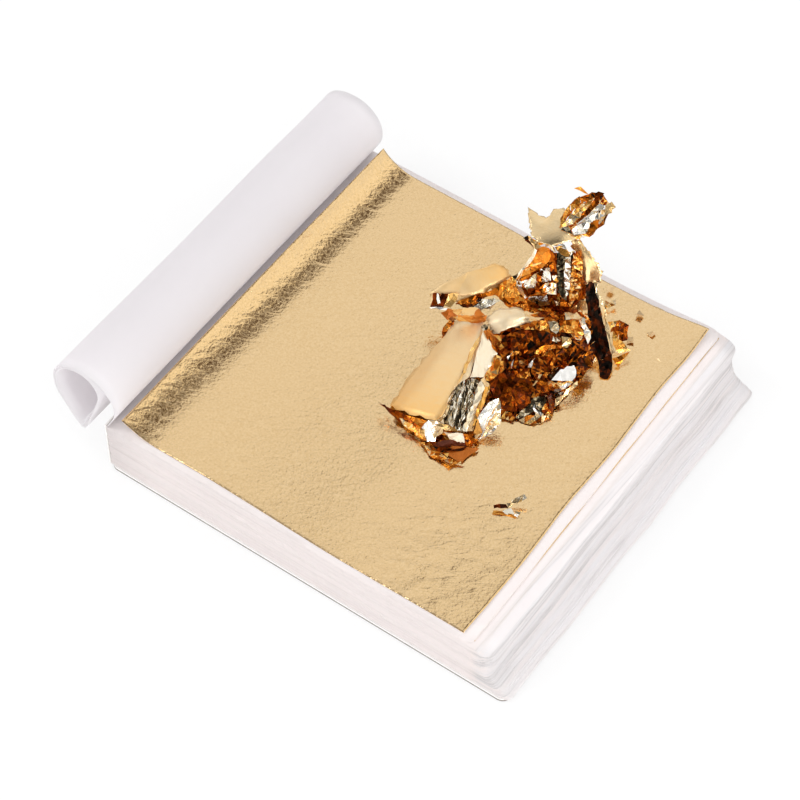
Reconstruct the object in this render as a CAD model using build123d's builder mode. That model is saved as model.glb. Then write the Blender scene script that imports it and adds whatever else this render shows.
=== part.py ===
from build123d import *
import os
from math import cos, radians, sin

# A booklet of gold leaf: loose metal leaves between tissue leaves that are bound along one edge.
# Millimetres. X runs from the spine to the fore-edge, Y along the spine, Z up.
# The origin is the middle of the back cover's underside.

# back cover
cover_width = 93.5
cover_thickness = 0.8
cover_corner = 2.0
cover_margin = 0.2

# binding
glue_thickness = 0.3
glue_shoulder = 0.1

# tissue leaves
leaf_pairs = 24
tissue_width = 88.6
tissue_margin = 1.3
tissue_thickness = 0.2
tissue_corner = 1.2
root_gap = 0.2
leaf_air = 0.12
fore_edge_flare = 5.0
flared_leaf_share = 0.34
top_leaf_setback = 4.0

# loose gold leaves
foil_width = 80.0
foil_depth = 85.0
foil_thickness = 0.06
foil_inset = 6.6

# open gold leaf on top, its left edge curled up
open_foil_reach = 82.6
curl_radius = 8.8
curl_angle = 53.0

# rolled tissue leaf, as its section's route from the binding, in shares of the roll's width and height
roll_width = 14.3
roll_height = 19.3
roll_route_shares = (
    (0.02, 0.0),
    (0.147, 0.207),
    (0.154, 0.694),
    (-0.839, 0.694),
    (-0.846, 0.166),
    (-0.406, -0.306),
    (0.049, 0.653),
    (-0.790, 0.653),
    (-0.797, 0.177),
    (-0.420, -0.227),
    (-0.304, 0.018),
)
roll_bends = (6.0, 7.0, 7.0, 6.0, 1.0, 4.2, 6.0, 5.0, 0.8)

# torn pieces of leaf, a heap on the open leaf
heap_height = 20.0
rest_gap = 0.2
cut_overrun = 1.0

# the tissue is longer than the gold leaf at both ends, and the cover a little longer still
tissue_depth = foil_depth + 2 * tissue_margin
cover_depth = tissue_depth + 2 * cover_margin

# the places of the leaves in the stack
spine_x = -cover_width / 2
root_x = spine_x + glue_thickness
leaf_pitch = tissue_thickness + foil_thickness + 2 * leaf_air
first_leaf_z = cover_thickness + leaf_air
roll_root_z = first_leaf_z + leaf_pairs * leaf_pitch
open_foil_z = roll_root_z - leaf_air - foil_thickness
open_foil_x = root_x + open_foil_reach - foil_width / 2
heap_floor_z = open_foil_z + foil_thickness + rest_gap

os.makedirs("parts", exist_ok=True)


def finish(piece, name):
    piece.part.label = name
    export_step(piece.part, f"parts/{name}.step")


# back cover, a thin card with slightly rounded corners
with BuildPart() as back_cover:
    with BuildSketch():
        RectangleRounded(cover_width, cover_depth, cover_corner)
    extrude(amount=cover_thickness)
finish(back_cover, "back_cover")

# strip of padding glue that holds the tissue leaves along the spine
glue_height = roll_root_z + tissue_thickness + glue_shoulder - cover_thickness
with BuildPart() as binding_glue:
    with BuildSketch(Plane.XY.offset(cover_thickness)):
        with Locations((spine_x + glue_thickness / 2, 0)):
            Rectangle(glue_thickness, tissue_depth)
    extrude(amount=glue_height)
finish(binding_glue, "binding_glue")


def leaf_reach(share):
    """How far a tissue leaf reaches from the binding: the lowest leaves splay out at the fore-edge."""
    splay = max(0, 1 - share / flared_leaf_share)
    return tissue_width + fore_edge_flare * splay ** 1.7


# tissue leaves, each with a loose gold leaf on it
for number in range(1, leaf_pairs + 1):
    leaf_z = first_leaf_z + (number - 1) * leaf_pitch
    reach = leaf_reach((number - 1) / leaf_pairs)
    if number == leaf_pairs:
        reach -= top_leaf_setback
    with BuildPart() as tissue_leaf:
        with BuildSketch(Plane.XY.offset(leaf_z)):
            with Locations((root_x + root_gap, 0)):
                Rectangle(reach, tissue_depth, align=(Align.MIN, Align.CENTER))
        extrude(amount=tissue_thickness)
        fore_edges = tissue_leaf.edges().filter_by(Axis.Z).group_by(Axis.X)[-1]
        fillet(fore_edges, radius=tissue_corner)
    finish(tissue_leaf, f"tissue_leaf_{number:02d}")

    if number < leaf_pairs:
        with BuildPart() as foil_leaf:
            with BuildSketch(Plane.XY.offset(leaf_z + tissue_thickness + leaf_air)):
                with Locations((root_x + foil_inset, 0)):
                    Rectangle(foil_width, foil_depth, align=(Align.MIN, Align.CENTER))
            extrude(amount=foil_thickness)
        finish(foil_leaf, f"foil_leaf_{number:02d}")

# open gold leaf: flat on the top tissue leaf, curled up along its left edge
curl_length = curl_radius * radians(curl_angle)
with BuildPart() as open_foil_leaf:
    with BuildSketch(Plane.XZ):
        with BuildLine():
            flat = Line(
                (root_x + open_foil_reach, open_foil_z),
                (root_x + open_foil_reach - foil_width + curl_length, open_foil_z),
            )
            curl = JernArc(flat @ 1, flat % 1, curl_radius, -curl_angle)
            offset(amount=foil_thickness, side=Side.RIGHT, closed=True)
        make_face()
    extrude(amount=foil_depth / 2, both=True)
finish(open_foil_leaf, "open_foil_leaf")

# rolled tissue leaf: from the binding up beside the open leaf, over the top, and round again inside
roll_root = Plane(origin=(root_x, 0, roll_root_z), x_dir=(1, 0, 0), z_dir=(0, -1, 0))
roll_route = [(across * roll_width, up * roll_height) for across, up in roll_route_shares]
with BuildPart() as rolled_tissue_leaf:
    with BuildSketch(roll_root):
        with BuildLine() as roll_section:
            FilletPolyline(*roll_route, radius=roll_bends)
            roll_length = sum(edge.length for edge in roll_section.edges())
        trace(line_width=tissue_thickness)
    extrude(amount=tissue_depth / 2, both=True)
finish(rolled_tissue_leaf, "rolled_tissue_leaf")
print("rolled leaf's flat length", round(roll_length, 1), "of", tissue_width)


def torn_leaf(shares, turn):
    """A torn piece of leaf with straight creases. Its shares give its place from the middle of the open leaf,
    its length and width, how high it starts, its folds seen from the side and its torn edge seen from above."""
    length, width = (share * foil_width for share in shares["size"])
    origin = (
        open_foil_x + shares["place"][0] * foil_width,
        shares["place"][1] * foil_depth,
        heap_floor_z + shares["start"] * heap_height,
    )
    ground = Plane(origin=origin, x_dir=(cos(radians(turn)), sin(radians(turn)), 0), z_dir=(0, 0, 1))
    upright = Plane(origin=origin, x_dir=ground.x_dir, z_dir=-ground.y_dir)
    creases = [(along * length, up * heap_height) for along, up in shares["fold"]]
    torn_edge = [(along * length, aside * width) for along, aside in shares["edge"]]
    with BuildPart() as piece:
        with BuildSketch(upright):
            with BuildLine():
                Polyline(*creases)
            trace(line_width=foil_thickness)
        extrude(amount=width, both=True)
        with BuildSketch(ground.offset(-cut_overrun)):
            Polygon(*torn_edge, align=None)
        extrude(amount=heap_height + 2 * cut_overrun, mode=Mode.INTERSECT)
    return piece


# front of the heap: a long spike that points left along a steep fold, and petals behind its right end
front_shares = {
    "place": (0.129, -0.059),
    "size": (0.175, 0.25),
    "start": 0.0,
    "fold": ((-0.6, 0.0), (-0.44, 0.015), (-0.24, 0.19), (-0.13, 0.02), (0.03, 0.08), (0.42, 0.27),
             (0.55, 0.3)),
    "edge": ((-0.22, 0.64), (-0.29, 0.34), (-0.3, 0.0), (-0.14, -0.28), (0.09, -0.28), (0.31, -0.3),
             (0.4, -0.4), (0.29, -0.47), (0.13, -0.51), (-0.08, -0.4), (-0.26, -0.41), (-0.55, -0.32),
             (-0.55, -0.08), (-0.45, 0.18), (-0.36, 0.4)),
}
finish(torn_leaf(front_shares, turn=101), "torn_leaf_front")

# left of the heap: a long smooth flap that rises to a ridge and drops steeply on its right
flap_shares = {
    "place": (0.067, 0.035),
    "size": (0.25, 0.3),
    "start": 0.0,
    "fold": ((-0.5, 0.0), (-0.42, 0.0), (-0.28, 0.11), (-0.15, 0.18), (0.12, 0.29), (0.22, 0.25),
             (0.32, 0.2), (0.5, 0.03)),
    "edge": ((-0.41, -0.43), (-0.14, -0.52), (0.18, -0.51), (0.43, -0.42), (0.41, 0.05), (0.38, 0.2),
             (0.4, 0.33), (0.24, 0.42), (0.06, 0.52), (-0.19, 0.52), (-0.29, 0.43), (-0.35, 0.17),
             (-0.39, -0.13)),
}
# the flap's back edge is rolled into a short open tube
tube_shares = {
    "place": (0.005, 0.172),
    "size": (0.05, 0.11),
    "start": 0.0,
    "fold": ((0.3, 0.24), (0.33, 0.32), (0.13, 0.37), (-0.15, 0.36), (-0.33, 0.3), (-0.3, 0.17)),
    "edge": ((0.4, 0.54), (-0.4, 0.54), (-0.4, -0.54), (0.4, -0.54)),
}
with BuildPart() as torn_leaf_left:
    add(torn_leaf(flap_shares, turn=9).part)
    add(torn_leaf(tube_shares, turn=115).part)
finish(torn_leaf_left, "torn_leaf_left")

# long curved strip behind the flap
curl_shares = {
    "place": (-0.004, 0.231),
    "size": (0.09, 0.22),
    "start": 0.3,
    "fold": ((-0.6, 0.1), (-0.42, 0.2), (-0.14, 0.15), (0.2, 0.05), (0.55, -0.01)),
    "edge": ((0.14, -0.51), (-0.09, -0.48), (-0.29, -0.08), (-0.49, 0.17), (-0.55, 0.31), (-0.3, 0.48),
             (0.2, 0.48), (0.48, 0.14), (0.34, -0.09), (0.22, -0.24)),
}
finish(torn_leaf(curl_shares, turn=-46), "torn_leaf_curl")

# middle of the heap: a close cluster of sharp folds that climbs towards the back
middle_shares = {
    "place": (0.217, 0.171),
    "size": (0.3, 0.26),
    "start": 0.0,
    "fold": ((-0.55, 0.0), (-0.46, 0.0), (-0.33, 0.15), (-0.2, 0.225), (-0.04, 0.1), (0.09, 0.25),
             (0.17, 0.18), (0.27, 0.29), (0.33, 0.245), (0.42, 0.33), (0.55, 0.28)),
    "edge": ((-0.47, -0.08), (-0.47, -0.22), (-0.34, -0.37), (-0.12, -0.4), (0.1, -0.4), (0.33, -0.32),
             (0.37, -0.23), (0.47, -0.13), (0.48, 0.0), (0.4, 0.1), (0.32, 0.22), (0.23, 0.31),
             (0.23, 0.45), (0.13, 0.6), (0.01, 0.62), (-0.03, 0.49), (-0.1, 0.2), (-0.22, 0.16),
             (-0.37, 0.09), (-0.46, 0.01)),
}
finish(torn_leaf(middle_shares, turn=80), "torn_leaf_middle")

# tall leaf that stands at the back of the heap and leans away
tall_shares = {
    "place": (0.165, 0.355),
    "size": (0.12, 0.16),
    "start": 0.0,
    "fold": ((-0.5, 0.0), (-0.14, 0.24), (-0.4, 0.36), (0.1, 0.6), (-0.06, 0.7), (0.5, 0.8), (0.9, 0.82)),
    "edge": ((-0.52, -0.46), (-0.1, -0.5), (0.3, -0.4), (0.86, -0.24), (0.84, 0.2), (0.3, 0.5),
             (-0.2, 0.42), (-0.52, 0.5)),
}
finish(torn_leaf(tall_shares, turn=125), "torn_leaf_tall")

# tattered knot on top of the tall leaf, reaching past the back edge
knot_shares = {
    "place": (0.112, 0.452),
    "size": (0.20, 0.10),
    "start": 0.84,
    "fold": ((-0.55, 0.0), (-0.3, 0.1), (-0.16, 0.0), (0.0, 0.2), (0.14, 0.04), (0.34, 0.24), (0.55, 0.1)),
    "edge": ((-0.5, -0.5), (-0.2, -0.34), (0.1, -0.5), (0.3, -0.2), (0.5, -0.1), (0.36, 0.2),
             (0.44, 0.5), (0.1, 0.4), (-0.16, 0.5), (-0.36, 0.16), (-0.5, 0.14)),
}
finish(torn_leaf(knot_shares, turn=35), "torn_leaf_knot")

# dark shard that stands at the right of the heap
right_shares = {
    "place": (0.324, 0.322),
    "size": (0.11, 0.10),
    "start": 0.0,
    "fold": ((-0.5, 0.0), (-0.2, 0.2), (-0.3, 0.3), (0.3, 0.56)),
    "edge": ((-0.52, -0.5), (0.0, -0.36), (0.4, -0.3), (0.32, 0.1), (0.1, 0.4), (-0.3, 0.5), (-0.52, 0.3)),
}
finish(torn_leaf(right_shares, turn=125), "torn_leaf_right")

# small flake near the front edge, folded into a V
flake_shares = {
    "place": (0.385, -0.175),
    "size": (0.07, 0.045),
    "start": 0.0,
    "fold": ((-0.5, 0.1), (-0.05, 0.01), (0.2, 0.06), (0.5, 0.04)),
    "edge": ((-0.5, 0.5), (-0.4, -0.2), (0.1, -0.5), (0.5, -0.1), (0.1, 0.0), (-0.1, 0.2), (-0.2, 0.5)),
}
finish(torn_leaf(flake_shares, turn=20), "leaf_flake_front")

# crumbs scattered to the right of the heap
crumb_size_share = 0.02
crumb_place_shares = ((0.385, 0.421), (0.442, 0.357), (0.355, 0.375), (0.228, 0.478), (0.33, 0.455))
crumbs = []
for number, place_share in enumerate(crumb_place_shares):
    crumb_shares = {
        "place": place_share,
        "size": (crumb_size_share, crumb_size_share),
        "start": 0.0,
        "fold": ((-0.5, 0.02), (0.0, 0.005), (0.5, 0.03)),
        "edge": ((-0.5, -0.3), (0.4, -0.5), (0.5, 0.2), (-0.1, 0.5)),
    }
    crumbs.append(torn_leaf(crumb_shares, turn=number * 70).part)
with BuildPart() as leaf_crumbs:
    add(crumbs)
finish(leaf_crumbs, "leaf_crumbs")
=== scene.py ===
import math
import random

import bmesh
import bpy
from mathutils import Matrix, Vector, noise


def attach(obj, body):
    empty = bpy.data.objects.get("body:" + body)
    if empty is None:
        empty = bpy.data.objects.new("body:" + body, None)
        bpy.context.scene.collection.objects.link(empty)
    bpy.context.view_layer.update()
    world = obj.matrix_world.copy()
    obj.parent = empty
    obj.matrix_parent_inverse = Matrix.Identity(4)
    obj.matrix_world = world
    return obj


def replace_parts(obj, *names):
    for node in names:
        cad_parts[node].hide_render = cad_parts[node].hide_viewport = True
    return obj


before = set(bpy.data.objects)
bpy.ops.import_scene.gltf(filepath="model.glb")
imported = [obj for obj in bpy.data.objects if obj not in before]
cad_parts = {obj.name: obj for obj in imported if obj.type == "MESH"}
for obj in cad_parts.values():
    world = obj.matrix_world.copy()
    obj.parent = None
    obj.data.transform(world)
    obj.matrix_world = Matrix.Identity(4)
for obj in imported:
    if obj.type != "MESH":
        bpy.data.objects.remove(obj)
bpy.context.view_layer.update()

mm = 0.001
# noise_vector would otherwise start from the clock
noise.seed_set(7)

# the photo's view, in millimetres and degrees
view = {"azimuth": 35.35, "elevation": 52.98, "target": (-9.69, 2.01, 0.0), "distance": 542.1, "lens": 122.4,
        "film": 36, "pixels": 800}
turn, rise = math.radians(view["azimuth"]), math.radians(view["elevation"])
outward = Vector((math.sin(turn) * math.cos(rise), -math.cos(turn) * math.cos(rise), math.sin(rise)))
rightward = Vector((math.cos(turn), math.sin(turn), 0))
eye = Vector(view["target"]) + outward * view["distance"]


# shader tools
class Wire:
    # one output socket; arithmetic on it adds Math nodes to its finish
    def __init__(self, finish, socket):
        self.finish, self.socket = finish, socket

    def maths(self, operation, first, second):
        return self.finish.add("ShaderNodeMath", {"operation": operation}, {0: first, 1: second})

    def __add__(self, other):
        return self.maths("ADD", self, other)

    def __radd__(self, other):
        return self.maths("ADD", other, self)

    def __sub__(self, other):
        return self.maths("SUBTRACT", self, other)

    def __rsub__(self, other):
        return self.maths("SUBTRACT", other, self)

    def __mul__(self, other):
        return self.maths("MULTIPLY", self, other)

    def __rmul__(self, other):
        return self.maths("MULTIPLY", other, self)


class Finish:
    # a material or world tree that is filled node by node
    def __init__(self, owner):
        owner.use_nodes = True
        self.owner, self.tree = owner, owner.node_tree
        self.tree.nodes.clear()

    def add(self, kind, settings=None, sockets=None, output=0):
        made = self.tree.nodes.new(kind)
        settings = dict(settings or {})
        for number, (place, shade) in enumerate(settings.pop("stops", ())):
            elements = made.color_ramp.elements
            stop = elements[number] if number < 2 else elements.new(place)
            stop.position = place
            stop.color = (*shade, 1) if isinstance(shade, tuple) else (shade, shade, shade, 1)
        for key, value in settings.items():
            setattr(made, key, value)
        for key, value in (sockets or {}).items():
            if isinstance(value, Wire):
                self.tree.links.new(value.socket, made.inputs[key])
            else:
                made.inputs[key].default_value = value
        return Wire(self, made.outputs[output])

    def colours(self, factor, first, second):
        first, second = (c if isinstance(c, Wire) else (*c, 1) for c in (first, second))
        return self.add("ShaderNodeMix", {"data_type": "RGBA"}, {0: factor, 6: first, 7: second}, 2)

    def ramp(self, value, *stops):
        return self.add("ShaderNodeValToRGB", {"stops": stops}, {0: value})

    def stretched(self, *scale):
        place = self.add("ShaderNodeTexCoord", output=3)
        return self.add("ShaderNodeVectorMath", {"operation": "MULTIPLY"}, {0: place, 1: scale})

    def clouds(self, place, scale, detail=4.0, roughness=0.55, distortion=0.0):
        return self.add("ShaderNodeTexNoise", {"noise_dimensions": "3D"},
                        {"Vector": place, "Scale": scale, "Detail": detail, "Roughness": roughness,
                         "Distortion": distortion})

    def bump(self, height, strength, distance, normal=None):
        sockets = {"Height": height, "Strength": strength, "Distance": distance}
        if normal:
            sockets["Normal"] = normal
        return self.add("ShaderNodeBump", {}, sockets)

    def part(self, vector, axis):
        return self.add("ShaderNodeSeparateXYZ", {}, {0: vector}, axis)

    def surface(self, colour, roughness, normal, metallic=1.0):
        return self.add("ShaderNodeBsdfPrincipled", {}, {"Base Color": colour, "Metallic": metallic,
                                                         "Roughness": roughness, "Normal": normal})

    def done(self, shader):
        world = isinstance(self.owner, bpy.types.World)
        made = self.tree.nodes.new("ShaderNodeOutputWorld" if world else "ShaderNodeOutputMaterial")
        self.tree.links.new(shader.socket, made.inputs[0])
        return self.owner


def newFinish(name):
    return Finish(bpy.data.materials.new(name))


# mesh tools
def newPiece(name, points, faces, finish, body, slotName, thick):
    # points are in millimetres
    mesh = bpy.data.meshes.new(name)
    mesh.from_pydata([tuple(c * mm for c in p) for p in points], [], faces)
    mesh.update()
    mesh.shade_smooth()
    mesh.materials.append(finish)
    piece = bpy.data.objects.new(name, mesh)
    bpy.context.scene.collection.objects.link(piece)
    skin = piece.modifiers.new("thickness", "SOLIDIFY")
    skin.thickness, skin.offset = thick * mm, 0
    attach(piece, body)
    return piece


def gridFaces(across, along, start):
    corners = [start + i * along + j for i in range(across - 1) for j in range(along - 1)]
    return [(c, c + along, c + along + 1, c + 1) for c in corners]


def joinSheets(sheets):
    # each sheet is a list of rows of points; all become one point list and one face list
    points, faces = [], []
    for rows in sheets:
        faces += gridFaces(len(rows), len(rows[0]), len(points))
        points += [p for row in rows for p in row]
    return points, faces


def ease(t):
    t = max(0.0, min(1.0, t))
    return t * t * (3 - 2 * t)


def hump(t):
    return math.exp(-t * t)


def wobble(x, y, z, size):
    return noise.noise(Vector((x / size, y / size, z / size)))


# finishes
print("finishes")


def tissueFinish(name, tint, striped=True, glowShare=0.3):
    f = newFinish(name)
    fibres = f.clouds(f.stretched(1, 1, 1), 900, 5, 0.6, 0.4)
    mottle = f.clouds(f.stretched(1, 1, 1), 60, 3, 0.5)
    white = f.colours(mottle, (0.83, 0.815, 0.825), (0.86, 0.85, 0.855))
    colour = f.colours(0.2 * fibres, white, (0.78, 0.765, 0.78))
    if striped:
        spot = f.stretched(10, 10, 10)
        across, along = f.part(spot, 0), f.part(spot, 1)
        rim = f.ramp(across, (0.378, 0.0), (0.388, 1.0)) + f.ramp(along * along, (0.184, 0.0), (0.189, 1.0))
        edges = f.ramp(f.clouds(f.stretched(12, 12, 2600), 1.0, 3, 0.7), (0.35, 0.0), (0.65, 1.0))
        colour = f.colours(0.45 * edges * rim, colour, tint)
        # painted shade: fine dark grey lines along the rim stand in for the shadowed gaps between the leaves
        lines = f.ramp(f.clouds(f.stretched(5, 5, 1150), 1.0, 5, 0.85), (0.5, 0.0), (0.6, 1.0))
        colour = f.colours(0.9 * lines * rim, colour, (0.61, 0.585, 0.575))
        # the gold leaf beneath shows through as a warm tint
        backed = f.ramp(across, (0.388, 1.0), (0.403, 0.0))
        colour = f.colours(0.5 * backed, colour, (0.965, 0.86, 0.82))
    normal = f.bump(fibres, 0.25, 0.00006)
    # painted light: a faint white emission makes the paper glow, lifting its shaded parts evenly
    paper = f.add("ShaderNodeBsdfPrincipled", {}, {
        "Base Color": colour, "Roughness": 0.62, "Specular IOR Level": 0.25, "Normal": normal,
        "Emission Color": (0.95, 0.93, 0.95, 1), "Emission Strength": 0.09})
    glow = f.add("ShaderNodeBsdfTranslucent", {}, {"Color": (0.95, 0.93, 0.94, 1), "Normal": normal})
    return f.done(f.add("ShaderNodeMixShader", {}, {0: glowShare, 1: paper, 2: glow}))


def goldFinish(name, pale, deep, roughness, grain, grainSize):
    f = newFinish(name)
    place = f.stretched(1, 1, 1)
    patches = f.clouds(place, 45, 4, 0.6)
    colour = f.colours(patches, pale, deep)
    fine = f.clouds(place, 1.0 / (grainSize * mm), 6, 0.62, 0.8)
    wrinkle = f.clouds(f.stretched(0.6, 1, 1), 0.35 / (grainSize * mm), 4, 0.55, 1.2)
    normal = f.bump(fine, grain, grainSize * 0.16 * mm, f.bump(wrinkle, grain * 0.7, grainSize * 0.45 * mm))
    rough = roughness * 0.75 + fine * (roughness * 0.5)
    return f.done(f.surface(colour, rough, normal))


def openGoldFinish():
    # satin gold with an orange-peel grain, strongest where the leafGrain attribute is high
    f = newFinish("openGold")
    grain = f.add("ShaderNodeAttribute", {"attribute_name": "leafGrain"}, {}, 2)
    place = f.stretched(1, 1, 1)
    speck = f.ramp(f.clouds(place, 2300, 3, 0.7), (0.35, 0.0), (0.65, 1.0))
    sheen = f.colours(f.clouds(place, 60, 5, 0.6), (0.765, 0.54, 0.28), (0.73, 0.505, 0.25))
    colour = f.colours(speck, sheen, (0.84, 0.615, 0.345))
    fine = f.clouds(place, 1500, 3, 0.55, 0.5)
    turned = f.add("ShaderNodeVectorRotate", {"rotation_type": "Z_AXIS"}, {"Vector": place, "Angle": -turn})
    drawn = f.add("ShaderNodeVectorMath", {"operation": "MULTIPLY"}, {0: turned, 1: (0.38, 1, 1)})
    wrinkle = f.clouds(drawn, 560, 3, 0.5, 0.7)
    height = fine * (0.5 + 0.6 * grain) + 2.5 * wrinkle * (0.12 + grain)
    normal = f.bump(height, 1.0, 0.00011)
    rough = 0.09 + 0.12 * f.clouds(place, 900, 4, 0.7)
    return f.done(f.surface(colour, rough, normal))


def cardFinish():
    # brown outside, with a pale inner ply that shows along the upper half of the cut edge
    f = newFinish("coverCard")
    fleck = f.clouds(f.stretched(1, 1, 1), 700, 6, 0.7)
    brown = f.ramp(fleck, (0.25, (0.17, 0.145, 0.13)), (0.75, (0.33, 0.29, 0.26)))
    ply = f.ramp(f.part(f.stretched(1000, 1000, 1000), 2), (0.36, 0.0), (0.42, 1.0))
    colour = f.colours(ply, brown, (0.86, 0.84, 0.83))
    normal = f.bump(fleck, 0.4, 0.0001)
    return f.done(f.surface(colour, 0.75, normal, 0.0))


def glueFinish():
    f = newFinish("spineGlue")
    lumps = f.clouds(f.stretched(1, 1, 3), 320, 5, 0.6)
    colour = f.ramp(lumps, (0.3, (0.80, 0.78, 0.74)), (0.7, (0.90, 0.89, 0.86)))
    rough = 0.3 + 0.35 * lumps
    normal = f.bump(lumps, 0.5, 0.0003)
    return f.done(f.surface(colour, rough, normal, 0.0))


def tornFinish():
    f = newFinish("tornGold")
    # painted reflection: the tone attribute colours each facet for what it would mirror, dark bronze for
    # shade, orange for light bounced between facets, near white for highlights
    tone = f.add("ShaderNodeAttribute", {"attribute_name": "leafTone"}, {}, 2)
    crackle = f.add("ShaderNodeAttribute", {"attribute_name": "leafCrackle"}, {}, 2)
    place = f.stretched(1, 1, 1)
    # painted glints: this noise mottles the painted reflection tone, most on crackled facets; it also varies
    # the roughness
    glintAndRoughnessNoise = f.clouds(place, 700, 5, 0.6, 0.6)
    # painted glare: a tone above 1.05 swaps the gold colours for a neutral black-to-white ramp, standing in
    # for glaring highlights and dark reflections
    paintedNeutralGlare = f.add("ShaderNodeMath", {"operation": "GREATER_THAN"}, {0: tone, 1: 1.05})
    shade = tone - paintedNeutralGlare + (0.08 + (0.3 + 0.6 * paintedNeutralGlare) * crackle) * (glintAndRoughnessNoise - 0.5)
    warm = f.ramp(shade, (0.0, (0.012, 0.009, 0.007)), (1.0, (0.98, 0.965, 0.93)),
                  (0.16, (0.20, 0.030, 0.002)), (0.38, (0.66, 0.19, 0.015)), (0.58, (0.93, 0.50, 0.11)),
                  (0.68, (0.87, 0.585, 0.27)), (0.78, (0.86, 0.65, 0.37)), (0.9, (0.95, 0.88, 0.72)))
    pale = f.ramp(shade, (0.3, (0.03, 0.024, 0.014)), (0.85, (0.98, 0.93, 0.80)), (0.5, (0.42, 0.33, 0.19)))
    # painted reflection: facets that face downwards are painted orange, as if mirroring the gold leaf beneath
    facing = f.add("ShaderNodeTexCoord", output=1)
    paintedUnderReflection = f.ramp(f.part(facing, 2) * -1.0, (0.05, 0.0), (0.35, 1.0))
    colour = f.colours(paintedUnderReflection, f.colours(paintedNeutralGlare, warm, pale), (0.98, 0.60, 0.16))
    folds = f.clouds(place, 1500, 4, 0.6, 0.8)
    fine = f.clouds(place, 2400, 4, 0.6, 0.5)
    height = f.bump(fine * 0.3 + folds * crackle, 1.0, 0.00015)
    satin = f.ramp(crackle, (0.02, 1.0), (0.12, 0.0))
    rough = 0.12 + 0.10 * glintAndRoughnessNoise + 0.22 * satin
    return f.done(f.surface(colour, rough, height, 1.0 - 0.5 * satin))


tissuePaper = tissueFinish("tissuePaper", (0.93, 0.83, 0.79))
rollPaper = tissueFinish("rollPaper", (0.9, 0.9, 0.9), striped=False, glowShare=0.55)
leafGold = openGoldFinish()
packedGold = goldFinish("packedGold", (0.84, 0.62, 0.36), (0.78, 0.55, 0.30), 0.36, 0.5, 0.8)
coverCard = cardFinish()
spineGlue = glueFinish()
tornGold = tornFinish()

for node, finish in (("back_cover", coverCard), ("binding_glue", spineGlue), ("leaf_crumbs", packedGold)):
    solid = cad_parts[node]
    solid.data.materials.clear()
    solid.data.materials.append(finish)

# leaf stack
stack = {
    "bodies": 24, "sheetsPerBody": 3, "pitch": 0.5, "firstZ": 0.92,
    "rootX": -46.25, "reach": 88.6, "flare": 5.0, "flareShare": 0.34, "topSetback": 4.0,
    "halfDepth": 43.8, "sheetThick": 0.085, "goldX": (-39.85, 40.15), "goldHalf": 42.5, "goldThick": 0.02,
    "droop": 1.9, "droopStart": 33.5, "droopRun": 9, "cornerRadius": 2.6,
    "sheetLift": 0.05, "goldGap": 0.075, "lastGoldRight": 38.5,
}


def swell(x, y):
    # how far the top of the stack rises or sinks, as the loose leaves lie unevenly
    front = 0.7 * hump((x + 24) / 17) - 0.45 * hump((x - 8) / 13)
    back = -0.65 * hump((x - 9) / 18) + 1.0 * ease((x - 20) / 20)
    share = ease((y + 44) / 88)
    return front * (1 - share) + back * share


def overhang(x):
    # how far past the start of the droop a point lies, squared
    return max(0.0, (x - stack["droopStart"]) / stack["droopRun"]) ** 2


def leafHeight(level, x, y):
    # level runs from 0 at the cover to 1 at the top leaf
    drop = stack["droop"] * ease((level - 0.25) / 0.75) * overhang(x)
    return level * swell(x, y) * ease((x + 46) / 6) - drop


def rippledHeight(z, level, x, y):
    return z + leafHeight(level, x, y) + 0.05 * wobble(x, y, z * 2.0, 16)


def foreEdge(level):
    # the lower leaves splay outwards
    splay = max(0.0, 1 - level / stack["flareShare"])
    return stack["rootX"] + stack["reach"] + stack["flare"] * splay ** 1.7


def tissueRows(z, level, edgeX, seed):
    shares = (0, 0.12, 0.28, 0.44, 0.6, 0.74, 0.84, 0.9, 0.94, 0.965, 0.98, 0.99, 0.996, 1)
    bunch = 0.30 * noise.noise(Vector((z * 1.15, 5.0, 2.0)))
    step = 0.30 * noise.noise(Vector((z * 1.6, 1.0, 8.0)))
    radius = stack["cornerRadius"] * (0.5 + 0.8 * hump((level - 0.7) / 0.25))
    rows = []
    for s in shares:
        flat = stack["rootX"] + s * (edgeX - stack["rootX"])
        back = max(0.0, flat - (edgeX - radius))
        cut = radius - math.sqrt(max(0.0, radius * radius - back * back))
        row = []
        for j in range(19):
            side = -1 + 2 * j / 18
            y = side * (stack["halfDepth"] - cut + 0.5 * step) + 0.10 * wobble(flat, seed * 3.1, z * 4, 9)
            x = flat + s ** 8 * (0.40 * wobble(y, 3.0, z * 1.2, 14) + 0.14 * wobble(y, seed, z * 9, 6) + step)
            outer = max(ease((s - 0.86) / 0.14), ease((abs(side) - 0.8) / 0.2))
            row.append((x, y, rippledHeight(z, level, x, y) + outer * bunch))
        rows.append(row)
    return rows


def goldRows(z, level, seed, high):
    low = stack["goldX"][0]
    slip = 0.35 * wobble(seed, z, 1.7, 0.9)
    rows = []
    for i in range(9):
        x = low + (high - low) * i / 8 + slip
        row = []
        for quarter in range(-4, 5):
            side = quarter / 4
            y = side * (stack["goldHalf"] + 0.5 * wobble(z * 3, seed, side, 1.0))
            row.append((x, y, rippledHeight(z, level, x, y)))
        rows.append(row)
    return rows


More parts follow.
